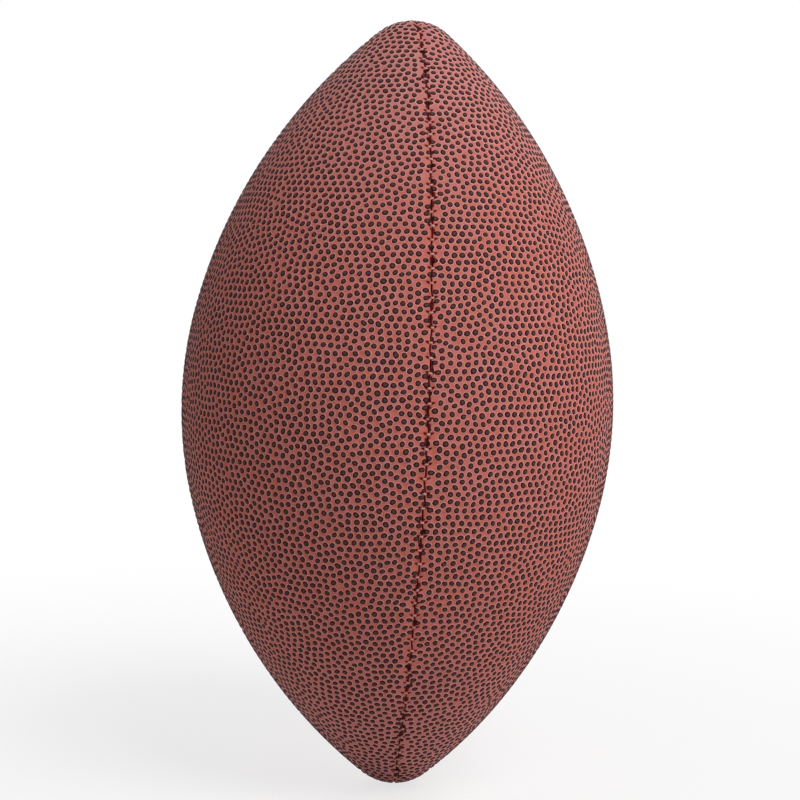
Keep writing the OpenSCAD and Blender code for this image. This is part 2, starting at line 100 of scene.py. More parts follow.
# Pebbles: pitch, radius, height, the least and greatest share of the radius, and the share that a neighbour leaves
PEBBLE_PITCH, PEBBLE_R, PEBBLE_H, PEBBLE_SHARES, NEIGHBOUR_SHARE = 2.83, 1.24, 0.30, (0.88, 1.08), 0.485
# The shoulder's shares of the radius and the height, points on a ring, their wander, greatest oval, and a foot's room
SHOULDER_SHARE, SHOULDER_H_SHARE, RING, RING_SHARES, OVAL, FOOT_SHARE = 0.70, 0.84, 10, (0.97, 1.03), 0.12, 1.06
# Beside a seam pebbles are pulled oval: how far from it, how much, and the pull from which they stand straight
PULL_REACH, PULL_OVAL, PULL_STRAIGHT = 3.2, 0.15, 0.4
# Spreading the pebbles: rounds, first throw, wanted gap and push as shares, the pattern's rim and its held edge
PEBBLE_ROUNDS, THROW_SHARE, WANTED_SHARE, PUSH_SHARE, RIM, HELD = 12, 0.30, 1.15, 0.25, 6.0, 2.5
# Lips: radius, half the seam's gap, and how far round them pebbles go
LIP_R, SEAM_HALF_GAP, LIP_TURN = 0.55, 0.02, 1.42
LIP_Q = LIP_R + SEAM_HALF_GAP
MATERIAL_END = LIP_Q - LIP_R * math.pi / 2 - LEATHER_T
# Uneven lips: waves (size, rate, phase), least, fading across and down, and the lean of the walls from a share of LIP_R
LIP_WAVES = ((0.10, 2.3, 5), (0.08, 1.13, 9))
LIP_LEAST, LIP_FADE, LIP_FADE_DOWN, WALL_LEAN, LEAN_SHARE = -0.03, 1.2, 0.5, 0.17, 0.7
# Dents at the stitches' ends: place across, depth, size along and across, and their slope past a place
DENT_Q, DENT_DEPTH, DENT_LONG, DENT_WIDE, DENT_SLOPE, SLOPE_FROM = 0.85, 0.34, 0.5, 0.7, 0.34, 0.4
# No pebble stands this near a stitch, along and across its seam
STITCH_CLEAR, STITCH_REACH = 0.95, 2.1
# Plain rows along the lips and round the tips: steps, and their end before the axis
ROW_STEP, SHORT_STEP, ROW_END = 1.1, 0.9, 0.5
# Holes: clearance to pebbles, what is cut inside the rim, and rings of the rim (out from the hole, depth, places)
HOLE_CLEAR, HOLE_CUT = PEBBLE_R * 1.05 + 0.45, 0.25
HOLE_RINGS = ((0.62, 0.0, 22), (0.2, 0.28, 20), (0.0, 1.0, 18), (-0.12, 2.2, 16))
# End slots: the same, with rows (out from the slot, depth), their step, the rounding of the end, and y on the back
SLOT_CLEAR, SLOT_CUT, SLOT_STEP, SLOT_END_SHARE, BACK_Y = 1.2, 0.3, 0.6, 0.6, 20
SLOT_ROWS = ((0.5, 0.0), (0.05, 0.35), (-0.25, 2.0))
# Triangles with a longer side only bridge the pattern's outer edge
LONGEST_SIDE = 7.0
# Visual stitches: half the thickness and length, end taper, flattening, depth, dive of the ends and its power
STITCH_R, STITCH_HALF, STITCH_TAPER, STITCH_FLAT = 0.36, 1.02, 0.75, 1.12
STITCH_SUNK, STITCH_DIVE, DIVE_POWER = 0.5, 0.6, 2.2
# How stitches differ: slant, shares of the length, and depth
STITCH_SLANT, STITCH_SHARES, STITCH_SINK = 0.10, (0.92, 1.06), 0.05
# How the photographed ball has settled: bow, twist, where the back stays still, the seams' wander (size, rate, phase)
# with its least radius, and the height that keeps the tips inside the CAD's faceted ones
BOW, BOW_REST, TWIST, TWIST_TIP = 2.2, 0.42, 0.032, 0.037
STILL_Y, STILL_FADE = 45, 37
WANDER, WANDER_R = ((0.20, 0.57, 1.3), (0.13, 1.31, 0.4)), 14
HEIGHT_SHARE = 0.9989


# ---- the ball's surface

def on_ball(p):
    """Nearest place on the ball to each point: it lies on the line from its arc's centre through the point, at the
    arc's radius. Returns places, normals and distances along the meridian."""
    r = np.maximum(np.hypot(p[:, 0], p[:, 1]), 1e-6)
    z, side = np.abs(p[:, 2]), np.where(p[:, 2] < 0, -1.0, 1.0)
    belly, flank = np.arctan2(z, r - BELLY_C), np.arctan2(z - FLANK_Z, r - FLANK_C)
    tip = np.arctan2(z - TIP_Z, r)
    which = np.where(belly <= BELLY_ANGLE, 0, np.where(flank <= FLANK_ANGLE, 1, 2))
    angle = np.choose(which, [belly, flank, tip])
    radius, centre_r, centre_z = ARCS[which].T
    run = np.choose(which, [BELLY_R * belly, BELLY_RUN + FLANK_R * (flank - BELLY_ANGLE),
                            BELLY_RUN + FLANK_RUN + TIP_R * (tip - FLANK_ANGLE)])
    way = p[:, :2] / r[:, None]
    new_r = centre_r + radius * np.cos(angle)
    place = np.column_stack([way * new_r[:, None], side * (centre_z + radius * np.sin(angle))])
    normal = np.column_stack([way * np.cos(angle)[:, None], side * np.sin(angle)])
    return place, normal, side * run


def meridian(s):
    """Radius and height on the outline at each distance s from the middle: centre plus radius times the cosine and
    sine of the angle that the distance spans on its arc."""
    up, side = np.abs(s), np.sign(s)
    which = np.where(up <= BELLY_RUN, 0, np.where(up <= BELLY_RUN + FLANK_RUN, 1, 2))
    angle = np.choose(which, [up / BELLY_R, BELLY_ANGLE + (up - BELLY_RUN) / FLANK_R,
                              FLANK_ANGLE + (up - BELLY_RUN - FLANK_RUN) / TIP_R])
    radius, centre_r, centre_z = ARCS[which].T
    return centre_r + radius * np.cos(angle), side * (centre_z + radius * np.sin(angle))


def skin_r(z, depth=0.0):
    """Distance of the skin from the long axis at height z: the arc's centre plus the root of its radius squared less
    the height squared."""
    up = np.abs(z)
    belly = BELLY_C + np.sqrt(np.maximum((BELLY_R - depth) ** 2 - up ** 2, 0))
    flank = FLANK_C + np.sqrt(np.maximum((FLANK_R - depth) ** 2 - (up - FLANK_Z) ** 2, 0))
    return np.where(up <= (BELLY_R - depth) * math.sin(BELLY_ANGLE), belly, flank)


def skin_slope(z):
    """Angle of the skin's normal above the level at height z: the arcsine of height over radius."""
    up = np.abs(z)
    return np.sign(z) * np.where(up <= JOIN_Z, np.arcsin(np.minimum(up / BELLY_R, 1)),
                                 np.arcsin(np.clip((up - FLANK_Z) / FLANK_R, -1, 1)))


def run_at(z):
    """Distance along the meridian to height z, between the tips' arcs."""
    a = float(skin_slope(abs(z)))
    return BELLY_R * a if abs(z) <= JOIN_Z else BELLY_RUN + FLANK_R * (a - BELLY_ANGLE)


def settle(p):
    """The slight bend and twist of the photographed ball, on its front. With w the height's share of the half length,
    the twist is TWIST w + TWIST_TIP w cubed plus the wander, two sines of the height over the distance from the axis.
    The shift sideways is BOW w squared less BOW_REST. All fade out on the back, and heights shrink a little."""
    w = p[:, 2] / HALF
    fade = np.clip((STILL_Y - p[:, 1]) / STILL_FADE, 0, 1)
    fade = fade * fade * (3 - 2 * fade)
    wander = sum(size * np.sin(p[:, 2] * rate + phase) for size, rate, phase in WANDER)
    a = (TWIST * w + TWIST_TIP * w ** 3 + wander / np.maximum(np.hypot(p[:, 0], p[:, 1]), WANDER_R)) * fade
    x = p[:, 0] * np.cos(a) - p[:, 1] * np.sin(a) + (BOW * w * w - BOW_REST) * fade
    return np.column_stack([x, p[:, 0] * np.sin(a) + p[:, 1] * np.cos(a), p[:, 2] * HEIGHT_SHARE])


# ---- meshes and pieces

def add_object(name, data):
    """A new object with its data, in the scene."""
    obj = bpy.data.objects.new(name, data)
    bpy.context.scene.collection.objects.link(obj)
    return obj


def new_piece(name, verts_mm, faces, material, attributes, node):
    """A smooth mesh object from points in mm and faces, with its float attributes, riding on the ball in place of
    its CAD node."""
    mesh = bpy.data.meshes.new(name)
    mesh.from_pydata((settle(verts_mm) * MM).tolist(), [], faces)
    mesh.polygons.foreach_set("use_smooth", [True] * len(mesh.polygons))
    for key, values in attributes.items():
        mesh.attributes.new(key, "FLOAT", "POINT").data.foreach_set("value", np.asarray(values, np.float32))
    mesh.update()
    mesh.materials.append(material)
    piece = add_object(name, mesh)
    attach(piece, "root")
    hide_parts(node)


def grid_faces(rows, cols, closed):
    """Quads between the rows of a grid of points, and round each row where it is closed."""
    i = np.arange(rows - 1)[:, None] * cols
    j = np.arange(cols if closed else cols - 1)[None, :]
    k = (j + 1) % cols
    return np.stack([i + j, i + k, i + cols + k, i + cols + j], axis=-1).reshape(-1, 4)


# ---- pebbled leather panels

def triangles(flat):
    """Delaunay triangles of points in a plane, as rows of three indices."""
    out = delaunay_2d_cdt([Vector(p) for p in flat.tolist()], [], [], 0, 1e-7, True)
    first = np.array([merged[0] for merged in out[3]])
    return first[np.array(out[2])]


def edges(tri):
    """The triangles' edges, each once, as the rows of its two ends."""
    pairs = np.sort(np.vstack([tri[:, [0, 1]], tri[:, [1, 2]], tri[:, [2, 0]]]), axis=1)
    pairs = np.unique(pairs, axis=0)
    return pairs[:, 0], pairs[:, 1]


def pebble_centres(rng):
    """Places of a quarter's pebbles, as evenly spaced as in the photograph but in no rows. They start evenly on rings
    and are thrown off by THROW_SHARE of a pitch. Round after round, neighbours closer than WANTED_SHARE pitches then
    push each other apart by PUSH_SHARE of what they lack. Returns places and distances to the nearest one."""
    row = PEBBLE_PITCH * math.sqrt(3) / 2
    n_rows = int(round(2 * HALF_RUN / row))
    r, z = meridian(-HALF_RUN + (np.arange(n_rows) + 0.5) * (2 * HALF_RUN / n_rows))
    count = np.maximum(np.round(2 * math.pi * r / PEBBLE_PITCH).astype(int), 1)
    ring = np.repeat(np.arange(n_rows), count)
    step = np.arange(len(ring)) - np.repeat(np.cumsum(count) - count, count)
    angle = (step + rng.random(n_rows)[ring]) * 2 * math.pi / count[ring]
    p = np.column_stack([r[ring] * np.cos(angle), r[ring] * np.sin(angle), z[ring]])
    low = MATERIAL_END - RIM
    p = p[(p[:, :2] > low).all(axis=1)]
    p, normal, run = on_ball(p + rng.normal(0, PEBBLE_PITCH * THROW_SHARE, p.shape))
    for _ in range(PEBBLE_ROUNDS):
        a, b = edges(triangles(flat_pattern(p, normal, run)))
        d = p[b] - p[a]
        gap = np.linalg.norm(d, axis=1) + 1e-9
        d *= (np.clip(PEBBLE_PITCH * WANTED_SHARE - gap, 0, None) / gap * PUSH_SHARE)[:, None]
        push = np.column_stack([np.bincount(b, d[:, k], len(p)) - np.bincount(a, d[:, k], len(p)) for k in range(3)])
        push[(p[:, :2] < low + HELD).any(axis=1)] = 0
        p, normal, run = on_ball(p + push)
    a, b = edges(triangles(flat_pattern(p, normal, run)))
    gap = np.linalg.norm(p[b] - p[a], axis=1)
    nearest = np.full(len(p), np.inf)
    np.minimum.at(nearest, a, gap)
    np.minimum.at(nearest, b, gap)
    return p, nearest


def tangents(normal):
    """Unit vectors along the meridian and round the ball at each normal."""
    flat = np.maximum(np.hypot(normal[:, 0], normal[:, 1]), 1e-9)[:, None]
    way = normal[:, :2] / flat
    up = np.column_stack([-normal[:, 2:] * way, flat[:, 0]])
    return up, np.column_stack([-way[:, 1], way[:, 0], np.zeros(len(normal))])


def flat_pattern(p, normal, run):
    """Flattens a panel for its triangles: each ring round the ball becomes an arc as on a cone that touches it, which
    keeps lengths along rings and along the middle meridian. With a the angle from the panel's middle and c its
    product with the normal's height: x = r a sin(c) / c, y = run + r a (1 - cos(c)) / c."""
    r = np.hypot(p[:, 0], p[:, 1])
    a = np.arctan2(p[:, 1], p[:, 0]) - math.pi / 4
    a = (a + math.pi) % (2 * math.pi) - math.pi
    c = a * normal[:, 2]
    safe = np.where(np.abs(c) < 1e-6, 1e-6, c)
    return np.column_stack([r * a * np.sin(safe) / safe, run + r * a * (1 - np.cos(safe)) / safe])


def roll(m):
    """A panel's edge rolls into its seam on a quarter circle. m is the distance from the seam, along the leather.
    Returns the distance across, the depth and the angle rolled through."""
    e = np.maximum(LIP_Q - m, 0)
    turn = np.minimum(e / LIP_R, math.pi / 2)
    across = np.where(e > 0, LIP_Q - LIP_R * np.sin(turn), m)
    depth = LIP_R * (1 - np.cos(turn)) + np.maximum(e - LIP_R * math.pi / 2, 0)
    return across, depth, turn


def uneven(run, across, depth, shift):
    """How far a lip stands off its seam's middle at each run along it: two sines added, cut off below LIP_LEAST,
    fading away from the seam as exp(-across / LIP_FADE) and down the lip by LIP_FADE_DOWN. Below the lip the two
    walls lean together and close the seam."""
    wave = sum(size * np.sin(rate * run + phase * shift) for size, rate, phase in LIP_WAVES)
    fade = np.exp(-np.maximum(across, 0) / LIP_FADE) * np.clip(1 - depth / LIP_FADE_DOWN, 0, 1)
    return np.maximum(wave, LIP_LEAST) * fade - WALL_LEAN * np.clip(depth - LIP_R * LEAN_SHARE, 0, 1)


def edge_rows():
    """Plain leather on and below each lip: rows of places at even steps along both seams, and the short rows that
    close each tip."""
    rows = []
    lip = [LIP_Q - LIP_R * turn for turn in np.radians([0, 30, 60, 90])]
    for m in lip + [MATERIAL_END + ROW_STEP, MATERIAL_END]:
        r, z = meridian(np.arange(-HALF_RUN, HALF_RUN, ROW_STEP))
        keep = r > abs(m) + ROW_END
        y = np.sqrt(r[keep] ** 2 - m * m)
        rows.append(np.column_stack([np.full(len(y), m), y, z[keep]]))
        short = np.arange(m, -m, SHORT_STEP)
        height = TIP_Z + np.sqrt(TIP_R ** 2 - m * m - short ** 2)
        for end in (-1, 1):
            rows.append(np.column_stack([np.full(len(short), m), short, end * height]))
    one = np.vstack(rows)
    two = one[:, [1, 0, 2]]
    two = two[two[:, 0] - two[:, 1] > 1e-3]
    one = one[one[:, 1] - one[:, 0] > -1e-3]
    return np.vstack([one, two])


def stations(first, last):
    """Distances along a seam of its stitches, a whole number of pitches apart and centred between two places."""
    n = math.floor((last - first) / STITCH_PITCH)
    return (first + last - n * STITCH_PITCH) / 2 + np.arange(n + 1) * STITCH_PITCH


SEWN_END = HALF_RUN - TIP_TO_STITCH
FULL_SEAM = stations(-SEWN_END, SEWN_END)
UPPER_SEAM = stations(run_at(OPENING_HALF) + STITCH_PITCH / 2, SEWN_END)


def seam_runs(run, laced):
    """Distances from the first stitch, along the seam at x = 0 and the one at y = 0. A laced seam is sewn twice, from
    its opening towards each tip."""
    return np.abs(run) - UPPER_SEAM[0] if laced else run - FULL_SEAM[0], run - FULL_SEAM[0]


def from_stitch(along, across):
    """Distance along a seam from the nearest stitch, whose pull slopes along by DENT_SLOPE for each mm across."""
    return (along - DENT_SLOPE * (across - SLOPE_FROM) + STITCH_PITCH / 2) % STITCH_PITCH - STITCH_PITCH / 2


def in_end_slot(p, margin):
    """Which points lie in the end slots made larger by a margin."""
    return ((np.abs(np.abs(p[:, 2]) - END_SLOT_Z) < SLOT_R + margin) & (p[:, 0] < SLOT_REACH + margin)
            & (p[:, 1] > BACK_Y))


def holes_of(laced, valve):
    """Centres and radii of a panel's round holes: its row of lacing holes and the valve's neck hole."""
    holes = []
    if laced:
        for z in np.arange(LACE_ROWS) * LACE_PITCH - LAST_ROW_Z:
            r = float(skin_r(z))
            a = LACE_HOLE_X / r
            holes.append((np.array([r * math.sin(a), r * math.cos(a), z]), LACE_HOLE_R))
    if valve:
        r = BALL_D / 2
        holes.append((np.array([r * math.sin(VALVE_ANGLE), r * math.cos(VALVE_ANGLE), 0.0]), NECK_HOLE_R))
    return holes


def rim_rows(holes, laced):
    """Plain leather that rolls down into the holes, as rings of points, and into the end slots, as rows with a
    rounded end. Returns the points and their depths."""
    rims, depths = [], []
    for hole, radius in holes:
        centre, normal, _ = on_ball(hole[None])
        up, side = tangents(normal)
        for out, depth, n in HOLE_RINGS:
            a = np.arange(n)[:, None] * 2 * math.pi / n
            rims.append(centre + (radius + out) * (np.cos(a) * side + np.sin(a) * up))
            depths.append(np.full(n, depth))
    if laced:
        along = np.arange(-1.0, SLOT_REACH, SLOT_STEP)
        for end in (-1, 1):
            for out, depth in SLOT_ROWS:
                for edge in (-1, 1):
                    x = np.append(along, SLOT_REACH + out)
                    z = np.full(len(x), end * END_SLOT_Z + edge * (SLOT_R + out))
                    z[-1] = end * END_SLOT_Z + edge * (SLOT_R + out) * SLOT_END_SHARE
                    rims.append(np.column_stack([x, np.sqrt(skin_r(z) ** 2 - x * x), z]))
                    depths.append(np.full(len(x), depth))
    return rims, depths


def leather_panel(name, seed, laced, valve, place):
    """One panel in the quarter where x and y are positive, moved to its own quarter by place. The pebbles' centres,
    shoulders and feet and the plain rows are flattened and joined into triangles. Then every point is rolled over the
    lips, lowered down the walls or the holes' rims, dented at the stitches and raised by its pebble's height."""
    rng = np.random.default_rng(seed)
    centre, nearest = pebble_centres(rng)
    low = LIP_Q - LIP_R * LIP_TURN
    keep = (centre[:, :2] > low).all(axis=1)
    holes = holes_of(laced, valve)
    for hole, radius in holes:
        keep &= np.linalg.norm(centre - hole, axis=1) > radius + HOLE_CLEAR
    if laced:
        keep &= ~in_end_slot(centre, SLOT_CLEAR)
    # A stitch's pull leaves no pebble standing at its two ends
    for across, along in zip((centre[:, 0], centre[:, 1]), seam_runs(on_ball(centre)[2], laced)):
        keep &= ((np.abs(from_stitch(along, across)) > STITCH_CLEAR) | (across > STITCH_REACH) | (across < LIP_Q / 2)
                 | (along < -STITCH_PITCH / 2))
    centre, nearest = centre[keep], nearest[keep]
    n = len(centre)
    up, side = tangents(on_ball(centre)[1])

    # A pebble: its centre, a ring at its shoulder and a ring at its foot, slightly oval and uneven
    size = np.minimum(PEBBLE_R * rng.uniform(*PEBBLE_SHARES, n), nearest * NEIGHBOUR_SHARE)
    oval, lean = rng.uniform(0.0, OVAL, n), rng.random(n) * math.pi
    a = np.arange(RING)[None, :] * 2 * math.pi / RING + rng.random(n)[:, None] * math.pi
    # Beside a seam the leather is pulled across it, and its pebbles with it
    pull = np.exp(-(np.minimum(centre[:, 0], centre[:, 1]) / PULL_REACH) ** 2)
    oval, lean = oval + (PULL_OVAL - oval) * pull, np.where(pull > PULL_STRAIGHT, 0.0, lean)
    verts, height, dome, tone = [centre], [np.full(n, PEBBLE_H)], [np.ones(n)], [rng.random(n)]
    shape = size[:, None] * (1 + oval[:, None] * np.cos(2 * (a - lean[:, None]))) * rng.uniform(*RING_SHARES, (n, RING))
    for share, h in ((SHOULDER_SHARE, SHOULDER_H_SHARE), (1.0, 0.0)):
        x, y = (shape * share * np.cos(a))[..., None], (shape * share * np.sin(a))[..., None]
        ring = centre[:, None] + x * side[:, None] + y * up[:, None]
        verts.append(ring.reshape(-1, 3))
        height.append(np.full(n * RING, PEBBLE_H * h))
        dome.append(np.full(n * RING, 1 - share))
        tone.append(np.repeat(tone[0], RING))

    # Plain leather: rows along the lips, where no pebble's foot is, and the rims of the holes
    rows = edge_rows()
    tree = KDTree(n)
    for i, p in enumerate(centre):
        tree.insert(p, i)
    tree.balance()
    found = [tree.find(p) for p in rows]
    rows = rows[[f[2] > size[f[1]] * FOOT_SHARE for f in found]]
    rims, rim_depths = rim_rows(holes, laced)
    plain, depth = np.vstack([rows] + rims), np.concatenate([np.zeros(len(rows))] + rim_depths)
    verts, height = np.vstack(verts + [plain]), np.concatenate(height + [-depth])
    dome, tone = np.concatenate(dome + [np.zeros(len(plain))]), np.concatenate(tone + [np.full(len(plain), 0.5)])
    inside = (verts[:, :2] >= MATERIAL_END - 1e-6).all(axis=1)
    verts, height, dome, tone = verts[inside], height[inside], dome[inside], tone[inside]

    verts, normal, run = on_ball(verts)
    flat = flat_pattern(verts, normal, run)
    faces = triangles(flat)
    span = np.linalg.norm(flat[faces] - flat[np.roll(faces, 1, axis=1)], axis=2).max(axis=1)
    middle = verts[faces].mean(axis=1)
    ok = span < LONGEST_SIDE
    for hole, radius in holes:
        ok &= np.linalg.norm(middle - hole, axis=1) > radius - HOLE_CUT
    if laced:
        ok &= ~in_end_slot(middle, -SLOT_CUT)
    faces = faces[ok]
    way = np.cross(flat[faces[:, 1]] - flat[faces[:, 0]], flat[faces[:, 2]] - flat[faces[:, 0]])
    faces[way < 0] = faces[way < 0][:, ::-1]

    # Which seam each point is nearest to, how far along it from the first stitch, and whether it is sewn there
    x_across, x_depth, x_turn = roll(verts[:, 0])
    y_across, y_depth, y_turn = roll(verts[:, 1])
    x_run, y_run = seam_runs(run, laced)
    y_sewn = np.abs(run) < SEWN_END + STITCH_PITCH / 2
    x_sewn = y_sewn & (np.abs(run) > UPPER_SEAM[0] - STITCH_PITCH / 2) if laced else y_sewn
    x_across += uneven(run, x_across, x_depth, seed)
    y_across += uneven(run, y_across, y_depth, seed + 0.5)
    near_x = x_across < y_across
    across = np.where(near_x, x_across, y_across)
    along = np.where(near_x, x_run, y_run)
    sewn = np.where(near_x, x_sewn, y_sewn).astype(float)
    dent = sewn * np.exp(-(from_stitch(along, across) / DENT_LONG) ** 2 - ((across - DENT_Q) / DENT_WIDE) ** 2)

    new_normal = normal * (np.cos(x_turn) * np.cos(y_turn))[:, None]
    new_normal[:, 0] -= np.sin(x_turn)
    new_normal[:, 1] -= np.sin(y_turn)
    new_normal /= np.linalg.norm(new_normal, axis=1)[:, None]
    # Each wall goes down in its own seam's plane
    place_mm = np.column_stack([x_across, y_across, verts[:, 2]])
    for seam_plane, seam_depth in (([0, 1, 1], x_depth), ([1, 0, 1], y_depth)):
        down = normal * np.array(seam_plane)
        place_mm -= down / np.linalg.norm(down, axis=1)[:, None] * seam_depth[:, None]
    place_mm += new_normal * (height - PEBBLE_H - DENT_DEPTH * dent)[:, None]
    place = np.array(place, float)
    if np.linalg.det(place) < 0:
        faces = faces[:, ::-1]
    new_piece(name + "_pebbled", place_mm @ place.T, faces.tolist(), leather,
              {"dome": dome, "tone": tone, "across": across, "along": along, "sewn": sewn,
               "deep": x_depth + y_depth + np.maximum(-height, 0)}, name)


# ---- stitches

def stitches(name, turn, places, node):
    """The stitches at some places along the seam whose plane is turned by an angle from +Y. Each is a bent bar across
    the groove: a circle swept along a shallow bow whose ends dive into the lips. A point at share u of its half length
    lies across by u times that length, and deeper by the dive times u to the DIVE_POWER."""
    rows, cols, n = 7, 8, len(places)
    u = np.linspace(-1, 1, rows)[:, None]
    a = (np.arange(cols) * 2 * math.pi / cols)[None, :]
    thick = STITCH_R * np.sqrt(np.clip(1 - u ** 4 * STITCH_TAPER, 0, 1))
    across = STITCH_HALF * u + 0 * a
    down = STITCH_SUNK - thick * np.cos(a) + STITCH_DIVE * np.abs(u) ** DIVE_POWER
    along = thick * np.sin(a) * STITCH_FLAT
    rng = np.random.default_rng(len(name))
    r, z = meridian(places)
    p = np.column_stack([np.zeros(n), r, z])
    normal = on_ball(p)[1]
    up, side = tangents(normal)
    slant = rng.normal(0, STITCH_SLANT, n)[:, None, None]
    long = rng.uniform(*STITCH_SHARES, n)[:, None, None]
    sunk = rng.normal(0, STITCH_SINK, n)[:, None, None]
    q, s, d = across[None] * long, along[None] + across[None] * slant, down[None] + sunk
    verts = (p[:, None, None] + q[..., None] * side[:, None, None] + s[..., None] * up[:, None, None]
             - d[..., None] * normal[:, None, None]).reshape(-1, 3)
    c, k = math.cos(turn), math.sin(turn)
    verts = verts @ np.array([[c, k, 0], [-k, c, 0], [0, 0, 1]])
    first = np.arange(n)[:, None, None] * rows * cols
    faces = (grid_faces(rows, cols, True)[None] + first).reshape(-1, 4)
    tone = np.repeat(rng.random(n), rows * cols)
    new_piece(name, verts, faces.tolist(), thread, {"tone": tone}, node)


# ---- lace

def on_skin(x, z, d):
    """A place x along the skin from the back seam, at height z and depth d."""
    a, r = x / skin_r(z), skin_r(z, d)
    return np.column_stack([r * np.sin(a), r * np.cos(a), z])


def in_skin(x, z, wx, wz):
    """A direction in the skin from its parts round the ball and along it."""
    a, b = x / skin_r(z), skin_slope(z)
    return (wx[:, None] * np.column_stack([np.cos(a), -np.sin(a), 0 * a])
            + wz[:, None] * np.column_stack([-np.sin(b) * np.sin(a), -np.sin(b) * np.cos(a), np.cos(b)]))


CORNER_SHARE = 0.6
BEND = np.radians([0, 30, 60, 90])
RUN_SHARES = np.array([0.15, 0.38, 0.62, 0.85])
CROSS_SHARES = np.array([-0.86, -0.74, -0.62, -0.5, -0.25, 0, 0.25, 0.5, 0.62, 0.74, 0.86])


def points(x, z, d, wx, wz, g=0.0):
    """Rows of the lace's route: x, z, depth, width direction, width and thickness."""
    x, z, d, wx, wz, g = np.broadcast_arrays(*[np.asarray(v, float) for v in (x, z, d, wx, wz, g)])
    return np.column_stack([x, z, d, wx, wz, LACE_W + (GATHERED_W - LACE_W) * g, LACE_T + (GATHERED_T - LACE_T) * g])


def hole_turn(side, z, level, way):
    """The lace's quarter turn at a hole, from inside the hole to level."""
    return points(side * (LACE_HOLE_X - LACE_HOLE_R * (1 - np.cos(BEND))), z,
                  level + way * LACE_HOLE_R * (1 - np.sin(BEND)), 0, -1, np.cos(BEND))


def cross_lace(z):
    """Up through the left hole, over the long strands and down through the right hole."""
    x = CROSS_SHARES * (LACE_HOLE_X - LACE_HOLE_R / 2)
    x = x[np.abs(x) < LACE_HOLE_X - LACE_HOLE_R]
    near, far = LANE_X + LACE_W / 2, LACE_HOLE_X - LACE_HOLE_R
    u = np.clip((far - np.abs(x)) / (far - near), 0, 1)
    climb = (1 - np.cos(math.pi * u)) / 2
    return np.vstack([hole_turn(-1, z, LACE_ON, 1), points(x, z, LACE_ON + (LACE_OVER - LACE_ON) * climb, 0, -1),
                      hole_turn(1, z, LACE_ON, 1)[::-1]])


RUN_LENGTH = math.hypot(2 * LACE_HOLE_X, LACE_PITCH)
RUN_X, RUN_Z = -2 * LACE_HOLE_X / RUN_LENGTH, LACE_PITCH / RUN_LENGTH


def under_run(z):
    """Below the leather, from the right hole of one row to the left hole of the next."""
    s, turn = LACE_HOLE_R * (1 - np.cos(BEND)), BEND / (math.pi / 2)
    down = LACE_UNDER - LACE_HOLE_R * (1 - np.sin(BEND))
    wx, wz = -RUN_Z * turn, RUN_X * turn - (1 - turn)
    away = LACE_HOLE_R + RUN_SHARES * (RUN_LENGTH - 2 * LACE_HOLE_R)
    return np.vstack([
        points(LACE_HOLE_X + RUN_X * s, z + RUN_Z * s, down, wx, wz, np.cos(BEND)),
        points(LACE_HOLE_X + RUN_X * away, z + RUN_Z * away, LACE_UNDER, -RUN_Z, RUN_X),
        points(-LACE_HOLE_X - RUN_X * s, z + LACE_PITCH - RUN_Z * s, down, wx, wz, np.cos(BEND))[::-1]])


def slot_down(side, end, out, wx):
    """A long strand's way through an end slot, from the skin down to the run below."""
    over, down = SLOT_R * (1 - np.cos(BEND)), SLOT_R * (1 - np.sin(BEND))
    return np.vstack([points(side * LANE_X, end * (END_SLOT_Z - over), LACE_ON + down, wx, 0)[::-1],
                      points(side * LANE_X, end * (END_SLOT_Z + out * over), LACE_UNDER - down, wx, 0)])


def strand(side, up, wx):
    """A long strand between its slots, at even steps."""
    n = LACE_ROWS * 2 + 1
    return points(side * LANE_X, up * (END_SLOT_Z - SLOT_R) * (2 * np.arange(1, n) / n - 1), LACE_ON, wx, 0)


def lace_route():
    """The lace's whole route, as in the CAD source."""
    turn = np.radians(np.arange(0, 181, 30))
    corner, top = LACE_W * CORNER_SHARE, END_SLOT_Z + SLOT_R + LACE_T
    first, last = LANE_X - corner, LACE_HOLE_R - LACE_HOLE_X
    rows = np.arange(LACE_ROWS) * LACE_PITCH - LAST_ROW_Z
    parts = [points([-LANE_X], -END_SLOT_Z - SLOT_R - LACE_TAIL, LACE_UNDER, 1, 0),
             slot_down(-1, -1, 1, 1)[::-1], strand(-1, 1, 1), slot_down(-1, 1, 1, 1),
             points(-LANE_X * np.cos(turn), top + LANE_X * np.sin(turn), LACE_UNDER, np.cos(turn), -np.sin(turn)),
             slot_down(1, 1, 1, -1)[::-1], strand(1, -1, -1), slot_down(1, -1, -1, -1),
             points(LANE_X - corner * (1 - np.cos(BEND)), -LAST_ROW_Z - corner * (1 - np.sin(BEND)), LACE_UNDER,
                    -np.cos(BEND), -np.sin(BEND)),
             points(first + RUN_SHARES * (last - first), -LAST_ROW_Z, LACE_UNDER, 0, -1),
             hole_turn(-1, -LAST_ROW_Z, LACE_UNDER, -1)[::-1]]
    for i, z in enumerate(rows):
        parts.append(cross_lace(z))
        if i < LACE_ROWS - 1:
            parts.append(under_run(z))
    parts += [hole_turn(1, LAST_ROW_Z, LACE_UNDER, -1),
              points([LACE_HOLE_X - LACE_HOLE_R - LACE_TAIL], LAST_ROW_Z, LACE_UNDER, 0, -1)]
    return np.vstack(parts)


# The lace's mesh: step, points round it, powers of its superellipse, ribs, and how far it keeps inside its size
LACE_STEP, LACE_COLS, WIDE_POWER, THICK_POWER, RIBS, RIB_SHARE = 0.75, 26, 0.62, 0.55, 3, 0.07
LACE_W_SHARE, LACE_T_SHARE = 0.985, 0.97


